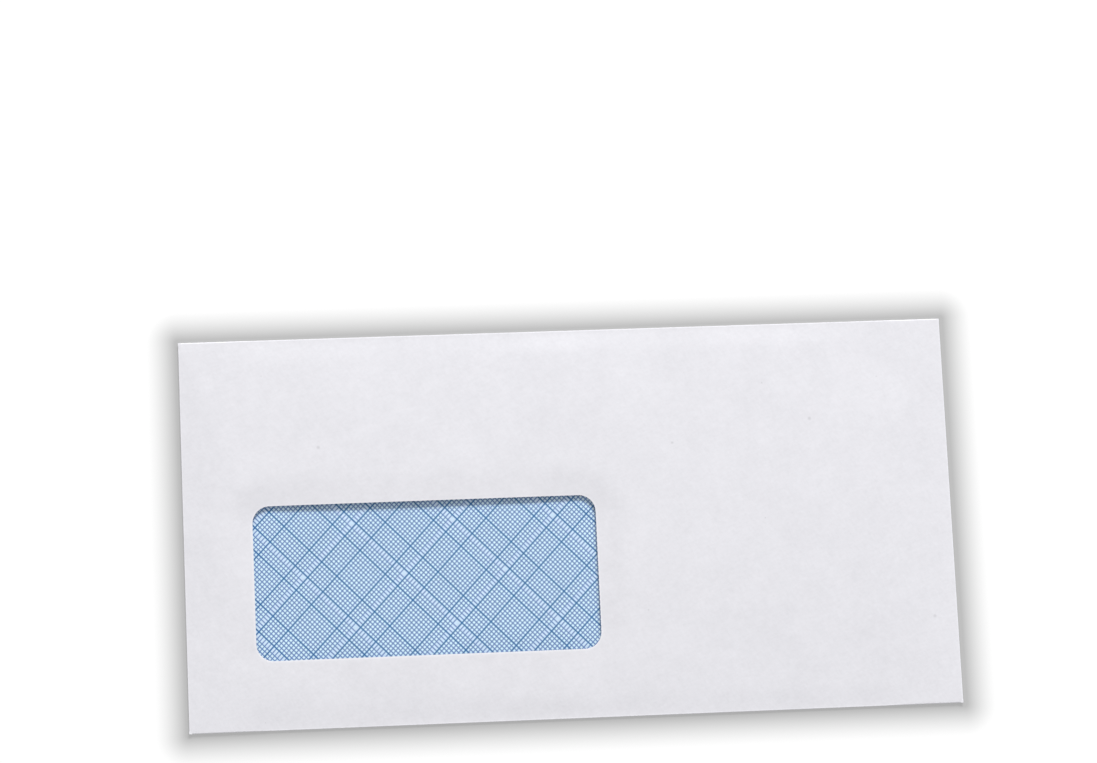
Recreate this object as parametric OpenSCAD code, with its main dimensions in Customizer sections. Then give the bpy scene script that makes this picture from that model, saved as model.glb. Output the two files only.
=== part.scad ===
// Window envelope, closed and empty, lying on its back with the window up.
// One sheet of paper is cut as a cross and folded: front panel in the middle, back panel
// at the bottom fold, seal flap at the top fold and a side flap at each end.
// A clear film patch is gummed to the inside of the front panel, behind the window.
// X runs along the length, +Y points to the top fold and +Z out of the window side.
// The origin lies under the middle of the envelope, on the surface that it rests on.

/* [Envelope] */
// Length, from side fold to side fold
env_length = 225; // [170:1:330]
// Height, from bottom fold to top fold
env_height = 114; // [95:1:230]
// Inner radius of the side folds, the tightest ones
fold_radius = 0.08; // [0.04:0.02:0.5]
// Height that the empty front panel bulges above its folds
bulge = 1; // [0.4:0.1:4]
// Distance from each side fold within which the bulge comes to its full height
bulge_run = 26; // [15:1:50]

/* [Paper and film] */
// Thickness of the paper
paper = 0.1; // [0.06:0.01:0.2]
// Thickness of the window film
film = 0.04; // [0.02:0.01:0.1]
// Clearance between two layers of paper that lie on each other
layer_gap = 0.02; // [0.01:0.01:0.04]

/* [Window] */
// Length of the window
window_length = 100; // [60:1:130]
// Height of the window
window_height = 45; // [25:1:55]
// Radius of the window's corners
window_radius = 5; // [1:0.5:12]
// Distance of the window from the left side fold
window_left = 20; // [14:1:30]
// Distance of the window from the bottom fold
window_bottom = 20; // [12:1:30]
// Width of the film's glued rim around the window
film_rim = 8; // [4:0.5:10]

/* [Seal flap] */
// Depth of the seal flap, from the top fold to its free edge
seal_depth = 28.5; // [20:0.5:40]
// How much narrower the free edge is at each end
seal_taper = 3.4; // [0:0.2:12]
// Radius of the free edge's corners
seal_radius = 6; // [1:0.5:12]

/* [Back panel and side flaps] */
// Distance from the top fold to the back panel's upper edge
throat = 11; // [4:0.5:16]
// Radius of the back panel's upper corners
throat_radius = 4; // [1:0.5:10]
// Length in which the back panel steps up over the seal flap
step_run = 4; // [2:0.5:8]
// Distance of that step's top from the seal flap's free edge
step_gap = 1; // [0.5:0.5:3]
// Width of the side flaps
side_width = 18; // [10:0.5:30]
// How much shorter a side flap's free edge is at each end
side_taper = 7; // [1:0.5:14]
// Radius of the side flaps' free corners
side_radius = 3; // [1:0.5:6]
// Length of the open notch at each corner, where two folds end
corner_notch = 0.8; // [0.7:0.1:3]

/* [Hidden] */

paper_white = [0.91, 0.91, 0.94];
film_clear = [0.62, 0.70, 0.86, 0.35];

// Levels of the layers' lower faces, from the table up
raised_z = paper + layer_gap;
side_z = 2 * raised_z;
front_z = side_z + paper + 2 * fold_radius;

// Thickness at the folds, from the table to the front panel's outer face, and at the crown
edge_thickness = front_z + paper;
crown_z = edge_thickness + bulge;

// How far the arches at the ends would rise above the crown, so that they cut the long one
// at an angle, and a height above both
arch_lead = 0.05;
end_z = crown_z + 2 * arch_lead;

// Outer radii of the folds: each one reaches from the front panel down to its own flap
long_fold = edge_thickness / 2;
side_fold = fold_radius + paper;

// Lengths of the folds between the corner notches
long_run = env_length - 2 * corner_notch;
side_run = env_height - 2 * corner_notch;

// Places from the middle of the envelope: the folds' inner edges, then the flaps' edges
panel_x = env_length / 2 - side_fold;
panel_y = env_height / 2 - long_fold;
seal_y = env_height / 2 - seal_depth;
throat_y = env_height / 2 - throat;
step_y = seal_y - step_gap - step_run;

// Middle of the window
window_x = -env_length / 2 + window_left + window_length / 2;
window_y = -env_height / 2 + window_bottom + window_height / 2;

// A flat layer of a given thickness, its lower face at height z
module layer(z, thickness = paper) {
    translate([0, 0, z])
        linear_extrude(height = thickness) children();
}

// Rectangle with four round corners, around its own middle
module round_window(length, height, radius) {
    square([length - 2 * radius, height], center = true);
    square([length, height - 2 * radius], center = true);
    for (x = [-1, 1], y = [-1, 1])
        translate([x * (length / 2 - radius), y * (height / 2 - radius)])
            circle(r = radius, $fn = 96);
}

// Outline of a flap: its fold lies on the X axis and its free edge at +Y.
// The ends lean in by taper, and the free corners are arcs tangent to both edges.
module flap_outline(run, depth, taper, radius) {
    lean = atan2(taper, depth);
    // Distance from the corner to each end of its arc, and to the arc's centre
    reach = radius * tan((90 - lean) / 2);
    corner_x = run / 2 - taper;
    side_x = corner_x + reach * sin(lean);
    side_y = depth - reach * cos(lean);
    centre_x = corner_x - reach;
    centre_y = depth - radius;
    polygon([
        [-run / 2, 0], [run / 2, 0], [side_x, side_y], [centre_x, centre_y],
        [centre_x, depth], [-centre_x, depth], [-centre_x, centre_y], [-side_x, side_y]
    ]);
    for (end = [-1, 1])
        translate([end * centre_x, centre_y])
            circle(r = radius, $fn = 96);
}

// Half ring of paper that bulges to -X, its open side on the Y axis
module fold_section(radius) {
    difference() {
        circle(r = radius, $fn = 96);
        circle(r = radius - paper, $fn = 96);
        translate([0, -radius])
            square([radius, 2 * radius]);
    }
}

// Fold along Y at x = 0, bulging to -X, its lower side at height z
module fold(run, radius, z) {
    translate([0, 0, z + radius])
        rotate([90, 0, 0])
            linear_extrude(height = run, center = true) fold_section(radius);
}

// Disc that passes through the folds' height at run either side of its top, and rises
// above them by rise there. Its centre can lie metres below the table, so that no digit
// is lost, the radius is rounded to 0.1 mm and the way down is made in ever finer steps.
module crown_disc(run, rise) {
    radius = round(5 * (run * run / rise + rise)) / 10;
    depth = sqrt(radius * radius - run * run) - edge_thickness;
    whole = floor(depth);
    thousandths = floor(1000 * (depth - whole)) / 1000;
    translate([0, -whole])
        translate([0, -thousandths])
            translate([0, whole + thousandths - depth])
                circle(r = radius, $fn = 4 * ceil(0.4 * radius));
}

// Section under the long arch, which springs from the bottom fold to the top fold
module long_arch() {
    intersection() {
        crown_disc(panel_y, bulge);
        translate([-env_height / 2, 0])
            square([env_height, end_z]);
    }
}

// Section that brings the long arch down to the side folds
module end_arch() {
    level_x = panel_x - bulge_run;
    translate([-level_x, 0])
        square([2 * level_x, end_z]);
    for (end = [-1, 1])
        intersection() {
            translate([end * level_x, 0])
                crown_disc(bulge_run, bulge + arch_lead);
            translate([end * (level_x + bulge_run / 2 + side_fold / 2), end_z / 2])
                square([bulge_run + side_fold, end_z], center = true);
        }
}

// Room under the front panel's outer face
module under_front() {
    intersection() {
        rotate([90, 0, 90])
            linear_extrude(height = env_length, center = true) long_arch();
        rotate([90, 0, 0])
            linear_extrude(height = env_height, center = true) end_arch();
    }
}

// Skin of a given thickness that follows the front panel, its outer face at a given depth
module front_skin(depth, thickness) {
    intersection() {
        difference() {
            translate([0, 0, -depth]) under_front();
            translate([0, 0, -depth - thickness]) under_front();
        }
        layer(0, end_z)
            square([2 * panel_x, 2 * panel_y], center = true);
    }
}

// Front panel between the folds, with the window, and its corner points past the folds' ends
module front_panel() {
    difference() {
        front_skin(0, paper);
        translate([window_x, window_y])
            layer(0, crown_z + paper)
                round_window(window_length, window_height, window_radius);
    }
    layer(front_z)
        difference() {
            for (x = [-1, 1], y = [-1, 1])
                translate([x * (long_run + corner_notch) / 2, y * (side_run + corner_notch) / 2])
                    square(corner_notch, center = true);
            square([2 * panel_x, 2 * panel_y], center = true);
        }
}

// Back panel: flat on the table, then stepping up to lie over the seal flap
module back_panel() {
    intersection() {
        rotate([90, 0, 90])
            linear_extrude(height = long_run, center = true)
                polygon([
                    [-panel_y, 0], [step_y, 0], [seal_y - step_gap, raised_z],
                    [throat_y, raised_z], [throat_y, raised_z + paper],
                    [seal_y - step_gap, raised_z + paper], [step_y, paper], [-panel_y, paper]
                ]);
        translate([0, -panel_y])
            layer(0, raised_z + paper)
                flap_outline(long_run, throat_y + panel_y, 0, throat_radius);
    }
    translate([0, -panel_y])
        rotate(90)
            fold(long_run, long_fold, 0);
}

// Seal flap, folded under at the top and lying on the table
module seal_flap() {
    translate([0, panel_y])
        mirror([0, 1])
            layer(0)
                flap_outline(long_run, seal_depth - long_fold, seal_taper, seal_radius);
    translate([0, panel_y])
        rotate(-90)
            fold(long_run, long_fold, 0);
}

// Left side flap, folded in between the front and the back panel
module side_flap() {
    translate([-panel_x, 0])
        rotate(-90)
            layer(side_z)
                flap_outline(side_run, side_width - side_fold, side_taper, side_radius);
    translate([-panel_x, 0])
        fold(side_run, side_fold, side_z);
}

module envelope_sheet() {
    color(paper_white) {
        front_panel();
        back_panel();
        seal_flap();
        side_flap();
        mirror([1, 0]) side_flap();
    }
}

module window_film() {
    color(film_clear)
        intersection() {
            front_skin(paper, film);
            translate([window_x, window_y])
                layer(0, crown_z)
                    square([window_length + 2 * film_rim, window_height + 2 * film_rim],
                        center = true);
        }
}

envelope_sheet();
window_film();
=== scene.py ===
import math
from functools import partial

import bmesh
import bpy
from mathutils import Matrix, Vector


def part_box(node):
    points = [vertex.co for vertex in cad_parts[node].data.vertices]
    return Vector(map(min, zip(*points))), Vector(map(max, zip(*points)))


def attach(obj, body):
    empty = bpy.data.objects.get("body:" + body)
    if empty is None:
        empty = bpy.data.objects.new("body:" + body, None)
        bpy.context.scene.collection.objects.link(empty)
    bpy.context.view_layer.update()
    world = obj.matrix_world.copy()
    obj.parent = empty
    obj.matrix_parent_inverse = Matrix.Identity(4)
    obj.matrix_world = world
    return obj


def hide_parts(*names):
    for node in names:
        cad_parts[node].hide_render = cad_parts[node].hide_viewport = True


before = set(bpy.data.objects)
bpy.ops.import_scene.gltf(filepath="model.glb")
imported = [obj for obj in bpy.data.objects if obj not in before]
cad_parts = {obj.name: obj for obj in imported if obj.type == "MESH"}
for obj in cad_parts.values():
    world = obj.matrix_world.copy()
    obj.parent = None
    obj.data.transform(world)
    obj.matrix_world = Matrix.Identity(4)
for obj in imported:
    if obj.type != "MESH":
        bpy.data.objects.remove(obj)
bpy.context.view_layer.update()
mm = 0.001
sheetLow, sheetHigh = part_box("envelope_sheet")
print("frame loaded, envelope", [round(side / mm, 1) for side in sheetHigh - sheetLow], "mm")


# The sheet's form, all in millimetres from the middle of the envelope; the table is at z = 0
foldedSheet = dict(
    length=225, height=114,
    paper=0.1,               # thickness of the paper
    layerGap=0.02,           # clearance between two layers
    foldRadius=0.08,         # inner radius of the side folds
    cornerNotch=0.8,         # open notch at each corner, where two folds end
    windowLength=100, windowHeight=45, windowRadius=5, windowLeft=20, windowBottom=20,
    sealDepth=28.5, sealTaper=3.4, sealRadius=6,
    sideWidth=18, sideTaper=7, sideRadius=3,
    throat=11,               # distance from the top fold to the back panel's upper edge
    throatRadius=4,
    stepRun=4, stepGap=1,    # the back panel's step over the seal flap, and how far it ends before the flap
    bulge=0.93,              # rise of the middle above the folds, which leaves room for waves
    bulgeLimit=1.0,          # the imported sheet's own rise, which nothing here exceeds
    endRun=26,               # length in which the bulge comes down to the side folds
    archLead=0.05,           # how far the arches at the ends would rise above the long one
    archBlend=0.08,          # height in which the two are rounded into each other
    windowDip=0.24,          # how far the window's upper edge lies below the bulge
    windowEndDip=0.40,       # and how much more at its left and right end
    windowEndCurve=2.5,      # higher keeps that closer to the ends
    windowEndLimit=1.2,      # where it stops growing, in half lengths of the window
    lowerDip=0.55,           # share of that dip at the window's lower edge
    dipSlope=(-2, 9.5),      # distances from the window's edge between which the panel slopes down to it
    edgePress=0.035,         # how far the die pressed the cut edge down
    pressReach=0.35,
    creaseDrop=0.16,         # how much flatter the long folds are pressed where no side flap lies between
    creaseEnds=(86, 99),     # distances from the middle between which that ends
    creaseNose=0.10,         # how far the pressed folds curve outwards, less than half their height
    waveHeight=0.035,        # long waves of paper that was never pressed flat
    dents=(                  # soft dents of the front panel: x, y, reach in x and y, height
        (92, 44, 11, 9, -0.08), (-104, -31, 9, 12, -0.12), (106, -46, 9, 12, -0.25),
        (60, 12, 22, 16, 0.05), (-30, 34, 26, 12, 0.04), (35, -38, 20, 9, -0.05),
    ),
    shoulders=(              # where the panel springs up faster from a long fold: x, side, reach, height
        (-71, 1, 13, 0.10), (1.5, 1, 14, 0.28), (60, 1, 22, 0.12), (92, 1, 10, -0.14), (-5, -1, 12, 0.10),
    ),
    shoulderTop=6, shoulderEnd=45,           # distances from the fold where it is highest and where it ends
    creaseRise=7, waveRise=7, dipRise=5, dentRise=2.5,     # distances from the folds in which these set in
    gridStep=1.6,            # size of the mesh's squares
    windowMargin=6,          # width of the rings of squares round the window
    ringShares=(0, 0.03, 0.08, 0.17, 0.3, 0.47, 0.7, 1),   # places of the rings within it
    edgeLinesX=(0, 0.5, 1.2), edgeLinesY=(0, 0.4, 1.1),    # closer lines beside the folds
    stepLines=8, foldLines=14, cornerLines=9,              # squares across the step, a fold and a corner
)
form = foldedSheet

# Levels and edges that follow from the sizes above
raisedZ = form["paper"] + form["layerGap"]
sideZ = 2 * raisedZ
edgeZ = sideZ + 2 * form["paper"] + 2 * form["foldRadius"]
longFold, sideFold = edgeZ / 2, form["foldRadius"] + form["paper"]
halfX, halfY = form["length"] / 2, form["height"] / 2
panelX, panelY = halfX - sideFold, halfY - longFold
runX, runY = halfX - form["cornerNotch"], halfY - form["cornerNotch"]
windowHalfX, windowHalfY = form["windowLength"] / 2, form["windowHeight"] / 2
windowRadius = form["windowRadius"]
windowX = -halfX + form["windowLeft"] + windowHalfX
windowY = -halfY + form["windowBottom"] + windowHalfY
foldTurns = [math.pi * i / form["foldLines"] for i in range(form["foldLines"] + 1)]
tiny = 1e-6                  # values closer than this are the same


def spread(start, end, step):
    # evenly spaced values from start to end, about a step apart
    count = max(1, round(abs(end - start) / step))
    return [start + (end - start) * i / count for i in range(count + 1)]


def gapBetween(a, b):
    return math.dist(a, b) if isinstance(a, tuple) else abs(a - b)


def joined(*runs):
    # several runs as one, without the doubled ends; a run holds numbers or points
    values = []
    for run in runs:
        for value in run:
            if not values or gapBetween(value, values[-1]) > tiny:
                values.append(value)
    return values


def smoothstep(low, high, x):
    t = min(1.0, max(0.0, (x - low) / (high - low)))
    return t * t * (3 - 2 * t)


def softMin(a, b, blend):
    # the lower of two heights, rounded where they cross
    near = max(blend - abs(a - b), 0.0) / blend
    return min(a, b) - near * near * blend / 4


def distanceFromWindow(x, y):
    # from the cut edge, negative inside the window
    dx = abs(x - windowX) - windowHalfX + windowRadius
    dy = abs(y - windowY) - windowHalfY + windowRadius
    return math.hypot(max(dx, 0), max(dy, 0)) + min(max(dx, dy), 0) - windowRadius


def creaseHeight(x):
    # thickness of the envelope along its long folds, less between the two side flaps
    return edgeZ - form["creaseDrop"] * (1 - smoothstep(*form["creaseEnds"], abs(x)))


def archHeight(x, y):
    # the long arch from fold to fold, brought down to the side folds by an arch at each end
    toEnd = max(0.0, 1 - (panelX - abs(x)) / form["endRun"])
    longArch = form["bulge"] * (1 - (y / panelY) ** 2)
    endArch = (form["bulge"] + form["archLead"]) * (1 - toEnd ** 2)
    return softMin(longArch, endArch, form["archBlend"])


def paperWave(x, y):
    # crossing waves of uneven lengths, in millimetres, so that they don't repeat, and shorter ones over them
    bentAlong = x / 17.0 + 1.1 * math.sin(y / 31.0)
    across = y / 23.0 + x / 61.0 + 0.7
    shortAlong = x / 8.3 + y / 12.7 + 2.1
    shortAcross = y / 10.1 - x / 29.0
    shortShare = 0.6
    return math.sin(bentAlong) * math.sin(across) + shortShare * math.sin(shortAlong) * math.sin(shortAcross)


def windowSlope(x, y):
    # how far the panel comes down round the window, most at its upper corners
    along = min(form["windowEndLimit"], abs(x - windowX) / windowHalfX)
    dip = form["windowDip"] + form["windowEndDip"] * along ** form["windowEndCurve"]
    upwards = smoothstep(-0.5, 0.5, (y - windowY) / form["windowHeight"])
    dip *= form["lowerDip"] + (1 - form["lowerDip"]) * upwards
    return dip * (1 - smoothstep(*form["dipSlope"], distanceFromWindow(x, y)))


def frontHeight(x, y):
    # height of the front panel's outer face
    fromFold = min(panelY - abs(y), panelX - abs(x))
    z = archHeight(x, y) + form["waveHeight"] * paperWave(x, y) * smoothstep(0, form["waveRise"], fromFold)
    for cx, cy, reachX, reachY, height in form["dents"]:
        dent = height * math.exp(-((x - cx) / reachX) ** 2 - ((y - cy) / reachY) ** 2)
        z += dent * smoothstep(0, form["dentRise"], fromFold)
    for cx, side, reach, height in form["shoulders"]:
        inset = panelY - side * y
        shoulder = height * math.exp(-((x - cx) / reach) ** 2) * smoothstep(0, form["shoulderTop"], inset)
        z += shoulder * (1 - smoothstep(form["shoulderTop"], form["shoulderEnd"], inset))
    z -= windowSlope(x, y) * smoothstep(0, form["dipRise"], fromFold)
    z -= form["edgePress"] * math.exp(-max(distanceFromWindow(x, y), 0) / form["pressReach"])
    crease = creaseHeight(x)
    edge = crease + (edgeZ - crease) * smoothstep(0, form["creaseRise"], panelY - abs(y))
    return min(edge + max(z, 0.0), edgeZ + form["bulgeLimit"])


def flapCorner(depth, taper, radius):
    # distance from a flap's free corner to each end of its arc, and from the fold to the arc's start
    lean = math.atan2(taper, depth)
    bend = radius * math.tan((math.pi / 2 - lean) / 2)
    return bend, depth - bend * math.cos(lean)


def flapHalfWidth(reach, half, depth, taper, radius):
    # half of a flap's width at a distance from its fold: leaning ends, then round corners
    bend, startReach = flapCorner(depth, taper, radius)
    if reach <= startReach:
        return half - taper * reach / depth
    return half - taper - bend + math.sqrt(max(radius ** 2 - (reach - depth + radius) ** 2, 0))


def flapReaches(depth, taper, radius, start=0):
    # distances from the fold, closer together along the round corners
    bend, startReach = flapCorner(depth, taper, radius)
    centre = depth - radius
    startAngle = math.asin((startReach - depth + radius) / radius)
    arc, count = math.pi / 2 - startAngle, form["cornerLines"]
    turn = [centre + radius * math.sin(startAngle + arc * i / count) for i in range(count + 1)]
    return joined(spread(start, startReach, form["gridStep"]), turn)


class Skin:
    # a piece's outer face; neighbouring panels share the points that they have in common
    pointsPerMm = 2000       # points that round to the same place in this fine grid are one

    def __init__(self):
        self.bm = bmesh.new()
        self.found = {}

    def point(self, x, y, z):
        key = tuple(round(v * self.pointsPerMm) for v in (x, y, z))
        if key not in self.found:
            self.found[key] = self.bm.verts.new((x * mm, y * mm, z * mm))
        return self.found[key]

    def rows(self, lines):
        # squares between rows of points
        for low, high in zip(lines, lines[1:]):
            for i in range(len(low) - 1):
                ring = []
                for v in (low[i], low[i + 1], high[i + 1], high[i]):
                    if v not in ring:
                        ring.append(v)
                if len(ring) > 2 and not self.bm.faces.get(ring):
                    self.bm.faces.new(ring)

    def front(self, xs, ys, under=0):
        # a patch over lines in x and y, that far under the front panel's outer face
        self.rows([[self.point(x, y, frontHeight(x, y) - under) for x in xs] for y in ys])


def windowRings(skin, xs, ys):
    # from the window's round outline out to the rectangle of panel lines xs, ys
    straightX, straightY = windowHalfX - windowRadius, windowHalfY - windowRadius
    left = [x for x in xs if x < windowX - straightX + tiny]
    right = [x for x in xs if x > windowX + straightX - tiny]
    low = [y for y in ys if y < windowY - straightY + tiny]
    high = [y for y in ys if y > windowY + straightY - tiny]
    midX, midY = xs[len(left):len(xs) - len(right)], ys[len(low):len(ys) - len(high)]
    x0, x1, y0, y1 = xs[0], xs[-1], ys[0], ys[-1]
    # anticlockwise: a corner's outer points, its side in x and y, its first angle, then the straight after it
    corners = (
        (joined([(x, y0) for x in right], [(x1, y) for y in low]), 1, -1, -90,
         [((x1, y), (windowX + windowHalfX, y)) for y in midY]),
        (joined([(x1, y) for y in high], [(x, y1) for x in reversed(right)]), 1, 1, 0,
         [((x, y1), (x, windowY + windowHalfY)) for x in reversed(midX)]),
        (joined([(x, y1) for x in reversed(left)], [(x0, y) for y in reversed(high)]), -1, 1, 90,
         [((x0, y), (windowX - windowHalfX, y)) for y in reversed(midY)]),
        (joined([(x0, y) for y in reversed(low)], [(x, y0) for x in left]), -1, -1, 180,
         [((x, y0), (x, windowY - windowHalfY)) for x in midX]),
    )
    pairs = []
    for outer, signX, signY, firstAngle, straight in corners:
        for i, p in enumerate(outer):
            a = math.radians(firstAngle + 90 * i / (len(outer) - 1))
            pairs.append((p, (windowX + signX * straightX + windowRadius * math.cos(a),
                              windowY + signY * straightY + windowRadius * math.sin(a))))
        pairs += straight
    pairs.append(pairs[0])
    lines = []
    for share in form["ringShares"]:
        line = []
        for (outerX, outerY), (innerX, innerY) in pairs:
            x, y = innerX + (outerX - innerX) * share, innerY + (outerY - innerY) * share
            line.append(skin.point(x, y, frontHeight(x, y)))
        lines.append(line)
    skin.rows(lines)


def windowBlock(middle, half):
    # mesh lines across the window and its margin, with the round corners as runs of their own
    low, high = middle - half, middle + half
    stops = (low - form["windowMargin"], low + windowRadius, high - windowRadius, high + form["windowMargin"])
    return joined(*[spread(start, end, form["gridStep"]) for start, end in zip(stops, stops[1:])])


def frontPanel(skin):
    # fields before, beside and after the window block; gives back all the lines in x and y
    step = form["gridStep"]
    blockX, blockY = windowBlock(windowX, windowHalfX), windowBlock(windowY, windowHalfY)
    edgeX = [runX - inset for inset in form["edgeLinesX"]]
    edgeY = [panelY] + [runY - inset for inset in form["edgeLinesY"]]
    leftX = joined([-panelX], [-x for x in edgeX], spread(-edgeX[-1], blockX[0], step))
    rightX = joined(spread(blockX[-1], edgeX[-1], step), reversed(edgeX), [panelX])
    lowY = joined([-y for y in edgeY], spread(-edgeY[-1], blockY[0], step))
    highY = joined(spread(blockY[-1], edgeY[-1], step), reversed(edgeY))
    allX, allY = joined(leftX, blockX, rightX), joined(lowY, blockY, highY)
    skin.front(allX, lowY)
    skin.front(allX, highY)
    skin.front(leftX, blockY)
    skin.front(rightX, blockY)
    windowRings(skin, blockX, blockY)
    return allX, allY


def cornerPoints(skin):
    # the front panel's small corner squares, which no fold reaches
    betweenX, beyondX = (runX, panelX), (panelX, halfX)
    betweenY, beyondY = (runY, panelY), (panelY, halfY)
    for sx in (-1, 1):
        for sy in (-1, 1):
            for xs, ys in ((beyondX, betweenY), (betweenX, beyondY), (beyondX, beyondY)):
                skin.front([sx * x for x in xs], [sy * y for y in ys])


def longFoldRows(skin, side, foldX):
    # the front panel's edge, then round the fold at the top (side 1) or the bottom (side -1)
    lines = [[skin.point(x, side * panelY, frontHeight(x, side * panelY)) for x in foldX]]
    for a in foldTurns:
        line = []
        for x in foldX:
            r = creaseHeight(x) / 2
            nose = longFold - (longFold - form["creaseNose"]) * (edgeZ - 2 * r) / form["creaseDrop"]
            line.append(skin.point(x, side * (halfY - nose + nose * math.sin(a)), r + r * math.cos(a)))
        lines.append(line)
    return lines


def longFlapRow(skin, foldX, y, z, half):
    # the fold's points drawn in to half of the flap's width
    return [skin.point(x * half / runX, y, z) for x in foldX]


def backPanel(skin, foldX):
    # at the bottom fold, stepping up to lie over the seal flap
    lines = longFoldRows(skin, -1, foldX)
    shape = (runX, panelY + halfY - form["throat"], 0, form["throatRadius"])
    stepEnd = panelY + halfY - form["sealDepth"] - form["stepGap"]
    stepReaches = spread(stepEnd - form["stepRun"], stepEnd, form["stepRun"] / form["stepLines"])
    flatReaches = spread(0, stepReaches[0], form["gridStep"])
    for reach in joined(flatReaches, stepReaches, flapReaches(*shape[1:], start=stepReaches[-1]))[1:]:
        z = raisedZ * smoothstep(stepReaches[0], stepReaches[-1], reach)
        lines.append(longFlapRow(skin, foldX, reach - panelY, z, flapHalfWidth(reach, *shape)))
    skin.rows(lines)


def sealFlap(skin, foldX):
    # at the top fold, lying on the table
    lines = longFoldRows(skin, 1, foldX)
    shape = (runX, form["sealDepth"] - longFold, form["sealTaper"], form["sealRadius"])
    for reach in flapReaches(*shape[1:])[1:]:
        lines.append(longFlapRow(skin, foldX, panelY - reach, 0, flapHalfWidth(reach, *shape)))
    skin.rows(lines)


def sideFlap(skin, side, foldY):
    # folded in between the front and the back panel at the right (side 1) or the left (side -1)
    def row(x, z, half):
        return [skin.point(x, y * half / runY, z) for y in foldY]

    lines = [[skin.point(side * panelX, y, frontHeight(side * panelX, y)) for y in foldY]]
    for a in foldTurns[1:]:
        x, z = panelX + sideFold * math.sin(a), sideZ + sideFold + sideFold * math.cos(a)
        lines.append(row(side * x, z, runY))
    shape = (runY, form["sideWidth"] - sideFold, form["sideTaper"], form["sideRadius"])
    for reach in flapReaches(*shape[1:])[1:]:
        lines.append(row(side * (panelX - reach), sideZ, flapHalfWidth(reach, *shape)))
    skin.rows(lines)


def sheetSkin():
    skin = Skin()
    allX, allY = frontPanel(skin)
    cornerPoints(skin)
    foldX = [x for x in allX if abs(x) < runX + tiny]
    foldY = [y for y in allY if abs(y) < runY + tiny]
    backPanel(skin, foldX)
    sealFlap(skin, foldX)
    sideFlap(skin, -1, foldY)
    sideFlap(skin, 1, foldY)
    return skin.bm


def asThickPiece(name, bm, thickness, materials):
    # turns a skin's faces outwards, judged by the highest one, and gives it its thickness inwards
    bmesh.ops.recalc_face_normals(bm, faces=bm.faces)
    top = max(bm.faces, key=lambda face: face.calc_center_median().z)
    if top.normal.z < 0:
        bmesh.ops.reverse_faces(bm, faces=bm.faces)
    mesh = bpy.data.meshes.new(name)
    bm.to_mesh(mesh)
    bm.free()
    piece = bpy.data.objects.new(name, mesh)
    bpy.context.scene.collection.objects.link(piece)
    for material in materials:
        mesh.materials.append(material)
    solid = piece.modifiers.new("thickness", "SOLIDIFY")
    solid.thickness, solid.offset = thickness * mm, -1
    solid.use_even_offset = True
    solid.material_offset = 1 if len(materials) > 1 else 0      # the second material is the inside's
    bpy.context.view_layer.update()
    thick = bpy.data.meshes.new_from_object(piece.evaluated_get(bpy.context.evaluated_depsgraph_get()))
    piece.modifiers.clear()
    piece.data = thick
    thick.name = name
    # smooth faces, with hard lines only at the cut edges
    hardAngle = math.radians(50)
    bm = bmesh.new()
    bm.from_mesh(thick)
    for face in bm.faces:
        face.smooth = True
    for edge in bm.edges:
        edge.smooth = len(edge.link_faces) == 2 and edge.calc_face_angle(0) < hardAngle
    bm.to_mesh(thick)
    bm.free()
    return piece


# What all of the paper's grain is mixed from
grainMix = dict(
    broadScale=0.22, broadShare=1.2,         # the broad clouds, set against the fine ones
    fibreRuns=(((1, 2.6, 1), 0.55), ((2.4, 1, 1), 0.35)),      # how fibres are stretched, and how turned
    roughness=0.6, swing=2.0,                # of the noise, and how strongly it shows
    fibreRelief=0.7, cloudRelief=0.6,
    speckSpread=1.8, speckMissing=0.5,       # how much specks differ in size, and how many are left out
    speckStrength=1.4, smallestSpeck=0.00001,
)

# Print on the inside of the sheet, in millimetres from the front panel's lower left corner
securityPrint = dict(
    repeat=21.1, pitch=1.0085,
    lineCount=20, boldLines=(0, 6, 16),      # lines in each repeat, and which of them are bold
    gapMiddle=19.97, gapFade=(1.0, 0.5),     # the gap after them: its middle in pitches, how it fades in
    softEdge=0.16,           # the ink runs a little in the paper
    # direction across the lines, the first bold one, which way they count, and their widths
    rising=dict(angle=44.4, start=34.98, way=1, fineWidth=0.29, boldWidth=0.45),
    falling=dict(angle=136.2, start=4.82, way=-1, fineWidth=0.27, boldWidth=0.43),
    ground=(0.755, 0.93, 0.995),             # light cells between the lines
    gapGround=(0.695, 0.84, 0.975),          # the same where one set has its gap
    ink=(0.038, 0.15, 0.46),
    boldInk=(0.006, 0.138, 0.38),
)

paperLook = dict(
    colour=(0.822, 0.816, 0.858),
    cloudScale=330, cloudShare=0.035,
    fibreScale=1300, fibreShare=0.040,
    speckSpacing=36, speckSize=0.55, speckTone=0.85,
    windowShadeTone=0.993, windowShadeFade=(5.5, 9.0),     # painted shade a little darker round the window; millimetres from the window's edge
    # painted highlight: the window's cut edge a little lighter, as where it catches the lamp
    cutHighlight=1.08, cutHighlightFade=(0.15, 0.65),
    foldHighlight=1.10, foldInsets=(0.16, 0.2), foldStrip=0.25,     # painted light: a paler strip along the side and the long folds, where they turn away from the lamp
    roughness=0.82, gloss=0.25, grainHeight=0.000012,
)

filmLook = dict(
    thickness=0.04, rim=8, clearance=0.004, gridStep=2,
    straight=0.8,            # share of what lies behind that is seen straight, without the film's gloss
    tint=(0.985, 0.99, 1.0), ior=1.45,
    roughness=0.015, roughnessSwing=0.02,
    rippleScale=90, rippleHeight=0.00003,
)


def feed(tree, socket, value):
    # numbers and colours are set on the socket, another node's output is linked to it
    if isinstance(value, (int, float)):
        socket.default_value = value
    elif isinstance(value, tuple):
        socket.default_value = (*value, 1)
    else:
        tree.links.new(value, socket)


def maths(tree, operation, *terms):
    node = tree.nodes.new("ShaderNodeMath")
    node.operation = operation
    for slot, term in enumerate(terms):
        feed(tree, node.inputs[slot], term)
    return node.outputs[0]


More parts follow.
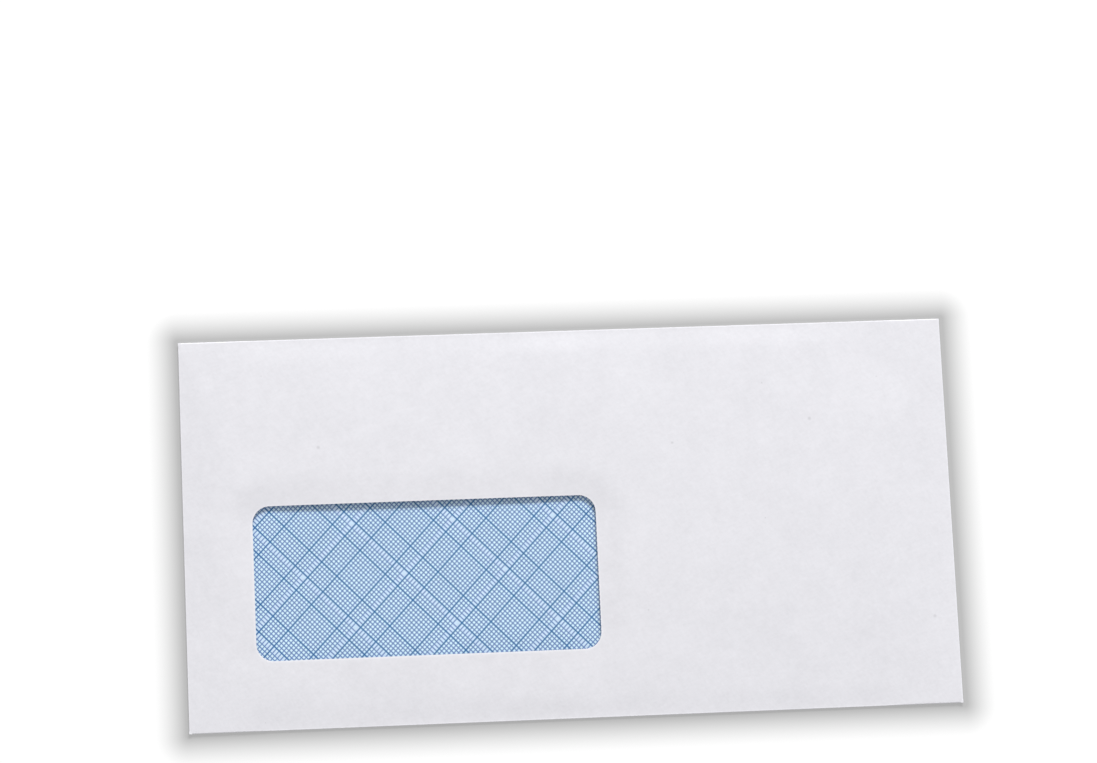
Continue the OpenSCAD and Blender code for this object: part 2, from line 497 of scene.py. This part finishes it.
def mapRange(tree, value, fromRange, toRange=(0.0, 1.0), smooth=False):
    node = tree.nodes.new("ShaderNodeMapRange")
    node.interpolation_type = "SMOOTHSTEP" if smooth else "LINEAR"
    labels = ("Value", "From Min", "From Max", "To Min", "To Max")
    for label, term in zip(labels, (value, *fromRange, *toRange)):
        feed(tree, node.inputs[label], term)
    return node.outputs["Result"]


def noise(tree, vector, scale, detail, roughness=0.55):
    node = tree.nodes.new("ShaderNodeTexNoise")
    node.inputs["Detail"].default_value = detail
    node.inputs["Roughness"].default_value = roughness
    feed(tree, node.inputs["Scale"], scale)
    tree.links.new(vector, node.inputs["Vector"])
    return node.outputs["Fac"]


def mixColour(tree, factor, a, b, blend="MIX"):
    node = tree.nodes.new("ShaderNodeMix")
    node.data_type, node.blend_type = "RGBA", blend
    for slot, value in ((0, factor), (6, a), (7, b)):
        feed(tree, node.inputs[slot], value)
    return node.outputs[2]


def scaled(tree, vector, scale):
    node = tree.nodes.new("ShaderNodeVectorMath")
    node.operation = "SCALE"
    tree.links.new(vector, node.inputs[0])
    feed(tree, node.inputs["Scale"], scale)
    return node.outputs[0]


def bumpInto(tree, surface, height, distance):
    # a fine relief, its height in metres
    bump = tree.nodes.new("ShaderNodeBump")
    bump.inputs["Distance"].default_value = distance
    tree.links.new(height, bump.inputs["Height"])
    tree.links.new(bump.outputs["Normal"], surface.inputs["Normal"])


def inMillimetres(tree, place):
    # x, y and z of a place
    split = tree.nodes.new("ShaderNodeSeparateXYZ")
    tree.links.new(scaled(tree, place, 1 / mm), split.inputs[0])
    return split.outputs


def distanceOutside(tree, coordinates, middle, half):
    # how far a point lies outside a rectangle, seen from above, in millimetres
    calc = partial(maths, tree)
    squares = []
    for coordinate, centre, reach in zip(coordinates, middle, half):
        fromMiddle = calc("ABSOLUTE", calc("SUBTRACT", coordinate, centre))
        beyond = calc("MAXIMUM", calc("SUBTRACT", fromMiddle, reach), 0.0)
        squares.append(calc("MULTIPLY", beyond, beyond))
    return calc("SQRT", calc("ADD", *squares))


def newGroup(name, inputs, outputs):
    # a shader node group: its inputs by name with their values, or None for a vector, and its outputs' names
    group = bpy.data.node_groups.new(name, "ShaderNodeTree")
    for label, value in inputs.items():
        kind = "Vector" if value is None else "Float"
        socket = group.interface.new_socket(label, in_out="INPUT", socket_type="NodeSocket" + kind)
        if value is not None:
            socket.default_value = value
    for label in outputs:
        group.interface.new_socket(label, in_out="OUTPUT", socket_type="NodeSocketFloat")
    return group, group.nodes.new("NodeGroupInput").outputs, group.nodes.new("NodeGroupOutput").inputs


def placeGroup(tree, group, first, values):
    # puts a group in a material: what its first socket is linked to, then its own values by name
    node = tree.nodes.new("ShaderNodeGroup")
    node.node_tree = group
    tree.links.new(first, node.inputs[0])
    for label, value in values.items():
        node.inputs[label].default_value = value
    return node.outputs


def paperGrainGroup():
    # how uncoated paper varies: clouds of denser pulp, fibres, and a few dark specks
    inputs = {"Position": None, "Cloud Scale": 260.0, "Fibre Scale": 1500.0, "Cloud Share": 0.03,
              "Fibre Share": 0.02, "Speck Spacing": 26.0, "Speck Size": 0.35}
    group, given, result = newGroup("paperGrain", inputs, ("Tone", "Speck", "Height"))
    calc = partial(maths, group)
    mix = grainMix

    def variation(scale, detail, vector=given["Position"]):
        # noise about zero
        return calc("SUBTRACT", noise(group, vector, scale, detail, mix["roughness"]), 0.5)

    def fibresAlong(stretch, turn):
        mapping = group.nodes.new("ShaderNodeMapping")
        mapping.vector_type = "TEXTURE"     # turned first, then stretched
        mapping.inputs["Rotation"].default_value = (0, 0, turn)
        mapping.inputs["Scale"].default_value = stretch
        group.links.new(given["Position"], mapping.inputs["Vector"])
        return variation(given["Fibre Scale"], 2, mapping.outputs["Vector"])

    broadClouds = variation(calc("MULTIPLY", given["Cloud Scale"], mix["broadScale"]), 2)
    clouds = calc("MULTIPLY_ADD", broadClouds, mix["broadShare"], variation(given["Cloud Scale"], 3))
    fibres = calc("ADD", *[fibresAlong(stretch, turn) for stretch, turn in mix["fibreRuns"]])
    tone = calc("MULTIPLY_ADD", clouds, given["Cloud Share"], calc("MULTIPLY", fibres, given["Fibre Share"]))
    group.links.new(calc("MULTIPLY_ADD", tone, mix["swing"], 1.0), result["Tone"])
    relief = calc("MULTIPLY_ADD", fibres, mix["fibreRelief"], calc("MULTIPLY", clouds, mix["cloudRelief"]))
    group.links.new(relief, result["Height"])
    # one speck at most in each cell; the cell's random colour sets its size, and some get none
    cells = group.nodes.new("ShaderNodeTexVoronoi")
    cells.voronoi_dimensions = "2D"
    cells.inputs["Scale"].default_value = 1.0
    cellsPerMetre = calc("DIVIDE", 1 / mm, given["Speck Spacing"])
    group.links.new(scaled(group, given["Position"], cellsPerMetre), cells.inputs["Vector"])
    random = group.nodes.new("ShaderNodeSeparateColor")
    group.links.new(cells.outputs["Color"], random.inputs["Color"])
    share = calc("MULTIPLY_ADD", random.outputs[0], mix["speckSpread"], -mix["speckMissing"])
    size = calc("MULTIPLY", calc("DIVIDE", given["Speck Size"], given["Speck Spacing"]), share)
    size = calc("MAXIMUM", size, mix["smallestSpeck"])
    inside = calc("SUBTRACT", 1.0, calc("DIVIDE", cells.outputs["Distance"], size))
    group.links.new(calc("MULTIPLY", calc("MAXIMUM", inside, 0.0), mix["speckStrength"]), result["Speck"])
    return group


def ruledLinesGroup():
    # one set of parallel lines: an even pitch and then a gap in each repeat, some of them bold
    inputs = {"Distance": 0.0, "Repeat": 21.1, "Pitch": 1.0085, "Fine Width": 0.3, "Bold Width": 0.42,
              "Soft Edge": 0.05}
    group, given, result = newGroup("ruledLines", inputs, ("Line", "Bold", "Gap"))
    calc = partial(maths, group)
    look = securityPrint
    pitch, half = given["Pitch"], calc("MULTIPLY", given["Pitch"], 0.5)
    # place within the repeat, from half a pitch before its first line on
    started = calc("ADD", given["Distance"], half)
    along = calc("SUBTRACT", calc("FLOORED_MODULO", started, given["Repeat"]), half)
    count = calc("ROUND", calc("DIVIDE", along, pitch))
    off = calc("ABSOLUTE", calc("SUBTRACT", along, calc("MULTIPLY", count, pitch)))
    bold = 0.0
    for number in look["boldLines"]:
        bold = calc("ADD", bold, calc("COMPARE", count, number, 0.5))
    extra = calc("MULTIPLY", bold, calc("SUBTRACT", given["Bold Width"], given["Fine Width"]))
    width = calc("ADD", given["Fine Width"], extra)
    reach = calc("SUBTRACT", calc("MULTIPLY", width, 0.5), off)
    outside = calc("MULTIPLY", given["Soft Edge"], -1.0)
    line = mapRange(group, reach, (outside, given["Soft Edge"]), smooth=True)
    line = calc("MULTIPLY", line, calc("LESS_THAN", count, look["lineCount"] - 0.5))
    group.links.new(line, result["Line"])
    group.links.new(calc("MULTIPLY", line, bold), result["Bold"])
    fromGap = calc("ABSOLUTE", calc("SUBTRACT", along, calc("MULTIPLY", pitch, look["gapMiddle"])))
    group.links.new(mapRange(group, fromGap, look["gapFade"], smooth=True), result["Gap"])
    return group


paperGrain = paperGrainGroup()
ruledLines = ruledLinesGroup()


def newMaterial(name):
    material = bpy.data.materials.new(name)
    material.use_nodes = True
    tree = material.node_tree
    place = tree.nodes.new("ShaderNodeTexCoord").outputs["Object"]
    return material, tree, tree.nodes["Principled BSDF"], place


def paperSurface(tree, surface, place, colour):
    # colour varied by the grain, matt, with the grain as a fine relief
    look = paperLook
    grain = placeGroup(tree, paperGrain, place, {
        "Cloud Scale": look["cloudScale"], "Cloud Share": look["cloudShare"],
        "Fibre Scale": look["fibreScale"], "Fibre Share": look["fibreShare"],
        "Speck Spacing": look["speckSpacing"], "Speck Size": look["speckSize"]})
    toned = mixColour(tree, 1.0, colour, grain["Tone"], "MULTIPLY")
    speck = mixColour(tree, 1.0, toned, (look["speckTone"],) * 3, "MULTIPLY")
    tree.links.new(mixColour(tree, grain["Speck"], toned, speck), surface.inputs["Base Color"])
    surface.inputs["Roughness"].default_value = look["roughness"]
    surface.inputs["Specular IOR Level"].default_value = look["gloss"]
    bumpInto(tree, surface, grain["Height"], look["grainHeight"])


def envelopePaper():
    material, tree, surface, place = newMaterial("envelopePaper")
    calc = partial(maths, tree)
    look = paperLook
    x, y, z = inMillimetres(tree, place)
    # painted shade makes the paper a little darker round the window, and a painted highlight makes the
    # window's cut edge a little lighter
    corners = (windowHalfX - windowRadius, windowHalfY - windowRadius)
    away = calc("SUBTRACT", distanceOutside(tree, (x, y), (windowX, windowY), corners), windowRadius)
    windowShade = mapRange(tree, away, look["windowShadeFade"], (look["windowShadeTone"], 1.0), smooth=True)
    # painted highlight along the window's cut edge
    cut = mapRange(tree, away, look["cutHighlightFade"], (look["cutHighlight"], 1.0))
    # both are painted on the front panel only, not on the back panel and the flap under it
    onFront = calc("GREATER_THAN", z, raisedZ + 2 * form["paper"])
    window = calc("MULTIPLY_ADD", calc("SUBTRACT", calc("MULTIPLY", windowShade, cut), 1.0), onFront, 1.0)
    # painted light: a paler strip over the folds, lifting the shade where they turn away from the lamp
    overFolds = []
    for coordinate, edge in ((x, halfX - look["foldInsets"][0]), (y, halfY - look["foldInsets"][1])):
        overFolds.append(mapRange(tree, calc("ABSOLUTE", coordinate), (edge - look["foldStrip"], edge)))
    foldLight = calc("MULTIPLY_ADD", calc("MAXIMUM", *overFolds), look["foldHighlight"] - 1, 1.0)
    colour = mixColour(tree, 1.0, look["colour"], calc("MULTIPLY", window, foldLight), "MULTIPLY")
    paperSurface(tree, surface, place, colour)
    return material


def printedPaper():
    material, tree, surface, place = newMaterial("printedPaper")
    calc = partial(maths, tree)
    look = securityPrint
    split = inMillimetres(tree, place)
    fromLeft, fromBottom = calc("ADD", split["X"], halfX), calc("ADD", split["Y"], halfY)
    sets = []
    for lines in (look["rising"], look["falling"]):
        way, angle = lines["way"], math.radians(lines["angle"])
        across = calc("ADD", calc("MULTIPLY", fromLeft, way * math.cos(angle)),
                      calc("MULTIPLY", fromBottom, way * math.sin(angle)))
        sets.append(placeGroup(tree, ruledLines, calc("SUBTRACT", across, way * lines["start"]), {
            "Repeat": look["repeat"], "Pitch": look["pitch"], "Soft Edge": look["softEdge"],
            "Fine Width": lines["fineWidth"], "Bold Width": lines["boldWidth"]}))
    line, bold, gap = [calc("MAXIMUM", sets[0][label], sets[1][label]) for label in ("Line", "Bold", "Gap")]
    base = mixColour(tree, gap, look["ground"], look["gapGround"])
    ink = mixColour(tree, bold, look["ink"], look["boldInk"])
    paperSurface(tree, surface, place, mixColour(tree, line, base, ink))
    return material


def clearFilm():
    material, tree, surface, place = newMaterial("clearFilm")
    look = filmLook
    surface.inputs["Base Color"].default_value = (*look["tint"], 1)
    surface.inputs["Transmission Weight"].default_value = 1
    surface.inputs["IOR"].default_value = look["ior"]
    ripple = noise(tree, place, look["rippleScale"], 2)
    swing = look["roughnessSwing"]
    rough = maths(tree, "MULTIPLY_ADD", ripple, swing, look["roughness"] - swing / 2)
    tree.links.new(rough, surface.inputs["Roughness"])
    bumpInto(tree, surface, ripple, look["rippleHeight"])
    # so thin that little of it is seen; lamps and the light from all round shine through it onto the print
    path = tree.nodes.new("ShaderNodeLightPath")
    clear = tree.nodes.new("ShaderNodeBsdfTransparent")
    clear.inputs["Color"].default_value = (*look["tint"], 1)
    shader = surface.outputs[0]
    for ray in (None, "Is Diffuse Ray", "Is Shadow Ray"):
        mixed = tree.nodes.new("ShaderNodeMixShader")
        feed(tree, mixed.inputs[0], path.outputs[ray] if ray else look["straight"])
        tree.links.new(shader, mixed.inputs[1])
        tree.links.new(clear.outputs[0], mixed.inputs[2])
        shader = mixed.outputs[0]
    tree.links.new(shader, tree.nodes["Material Output"].inputs["Surface"])
    return material


sheet = asThickPiece("foldedSheet", sheetSkin(), form["paper"], [envelopePaper(), printedPaper()])
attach(sheet, "root")
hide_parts("envelope_sheet")
print("sheet folded:", len(sheet.data.polygons), "faces")


def filmSkin():
    # follows the front panel's inner face, from rim to rim
    skin = Skin()
    lines = []
    for middle, half in ((windowX, windowHalfX), (windowY, windowHalfY)):
        start, end = middle - half - filmLook["rim"], middle + half + filmLook["rim"]
        lines.append(spread(start, end, filmLook["gridStep"]))
    skin.front(*lines, under=form["paper"] + filmLook["clearance"])
    return skin.bm


film = asThickPiece("clearWindowFilm", filmSkin(), filmLook["thickness"], [clearFilm()])
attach(film, "root")
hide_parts("window_film")
print("film glued in:", len(film.data.polygons), "faces")


# Table, light and camera
table = dict(
    size=6.0, drop=0.02 * mm,                    # metres; it lies a little under the envelope
    tone=0.42, roughness=0.9, gloss=0.1,
    glow=0.63,                                   # what the camera, the film and the paper's gloss see of it
    mottleScale=40, mottleShare=0.012,
    shadeRun=(0.9, 11.0),                        # millimetres from the envelope between which the painted shadow fades
    shadeDepth=0.495, shadeFall=1.52,
    shadeShift=(0.19, -0.13),                    # the painted shadow reaches further at the right and at the bottom
)

# places and sizes in metres, power in watts
lights = dict(
    sky=0.45,                                    # even light from all round
    key=dict(place=(0.8, 3.55, 1.95), size=(2.2, 0.88), power=188.0),
    frontFill=dict(place=(-0.1, -2.2, 0.47), size=(2.0, 0.3), power=7.8),
)

# place in millimetres, turn in degrees, the rest as Blender has it
cameraLook = dict(place=(-85.76, -124.17, 1019.55), turn=(9.432, -4.128, -2.624), lens=115.67, sensor=36,
                  near=0.01, far=20)


def whereSeen(tree):
    # 1 for the camera and for what gloss and glass show, 0 for the light that falls on things
    path = tree.nodes.new("ShaderNodeLightPath")
    mirrored = maths(tree, "MAXIMUM", path.outputs["Is Glossy Ray"], path.outputs["Is Transmission Ray"])
    return maths(tree, "MAXIMUM", path.outputs["Is Camera Ray"], mirrored)


def paleTable():
    material, tree, surface, place = newMaterial("paleTable")
    calc = partial(maths, tree)
    look = table
    # painted shadow: a soft shade that grows towards the envelope, painted into the table's colour
    half = (halfX + abs(look["shadeShift"][0]), halfY + abs(look["shadeShift"][1]))
    away = distanceOutside(tree, inMillimetres(tree, place), look["shadeShift"], half)
    fade = mapRange(tree, away, look["shadeRun"])
    near = calc("POWER", calc("SUBTRACT", 1.0, fade), look["shadeFall"])
    paintedShadow = calc("SUBTRACT", 1.0, calc("MULTIPLY", near, look["shadeDepth"]))
    mottle = calc("MULTIPLY_ADD", noise(tree, place, look["mottleScale"], 2), look["mottleShare"],
                  1 - look["mottleShare"] / 2)
    colour = mixColour(tree, 1.0, (look["tone"],) * 3, calc("MULTIPLY", paintedShadow, mottle), "MULTIPLY")
    tree.links.new(colour, surface.inputs["Base Color"])
    surface.inputs["Roughness"].default_value = look["roughness"]
    surface.inputs["Specular IOR Level"].default_value = look["gloss"]
    # a white surround for the camera, and for what the film and the paper mirror, darkened by the same
    # painted shadow
    tree.links.new(mixColour(tree, 1.0, (1.0, 1.0, 1.0), paintedShadow, "MULTIPLY"), surface.inputs["Emission Color"])
    tree.links.new(calc("MULTIPLY", whereSeen(tree), look["glow"]), surface.inputs["Emission Strength"])
    return material


def tableTop():
    mesh = bpy.data.meshes.new("tableTop")
    half = table["size"] / 2
    corners = [(-half, -half, 0), (half, -half, 0), (half, half, 0), (-half, half, 0)]
    mesh.from_pydata(corners, [], [(0, 1, 2, 3)])
    mesh.materials.append(paleTable())
    top = bpy.data.objects.new("tableTop", mesh)
    top.location.z = -table["drop"]
    bpy.context.scene.collection.objects.link(top)
    return top


def softbox(name, place, size, power):
    # a lamp that looks at the envelope
    lamp = bpy.data.lights.new(name, "AREA")
    lamp.shape, lamp.size, lamp.size_y, lamp.energy = "RECTANGLE", size[0], size[1], power
    box = bpy.data.objects.new(name, lamp)
    box.location = place
    box.rotation_euler = (-box.location).to_track_quat("-Z", "Y").to_euler()
    box.visible_glossy = False       # or else the film shows the lamp as a white patch from some sides
    bpy.context.scene.collection.objects.link(box)


def studioWorld():
    world = bpy.data.worlds.new("studio")
    world.use_nodes = True
    tree = world.node_tree
    background = tree.nodes["Background"]
    background.inputs["Color"].default_value = (1, 1, 1, 1)
    strength = maths(tree, "MULTIPLY_ADD", whereSeen(tree), 1 - lights["sky"], lights["sky"])
    tree.links.new(strength, background.inputs["Strength"])
    return world


def photoCamera():
    data = bpy.data.cameras.new("camera")
    data.lens, data.sensor_width = cameraLook["lens"], cameraLook["sensor"]
    data.clip_start, data.clip_end = cameraLook["near"], cameraLook["far"]
    camera = bpy.data.objects.new("camera", data)
    camera.location = [v * mm for v in cameraLook["place"]]
    camera.rotation_euler = [math.radians(a) for a in cameraLook["turn"]]
    bpy.context.scene.collection.objects.link(camera)
    return camera


tableTop()
softbox("keySoftbox", **lights["key"])
softbox("frontFill", **lights["frontFill"])
bpy.context.scene.world = studioWorld()
bpy.context.scene.camera = photoCamera()
bpy.context.scene.view_settings.view_transform = "Standard"
print("table, light and camera set")
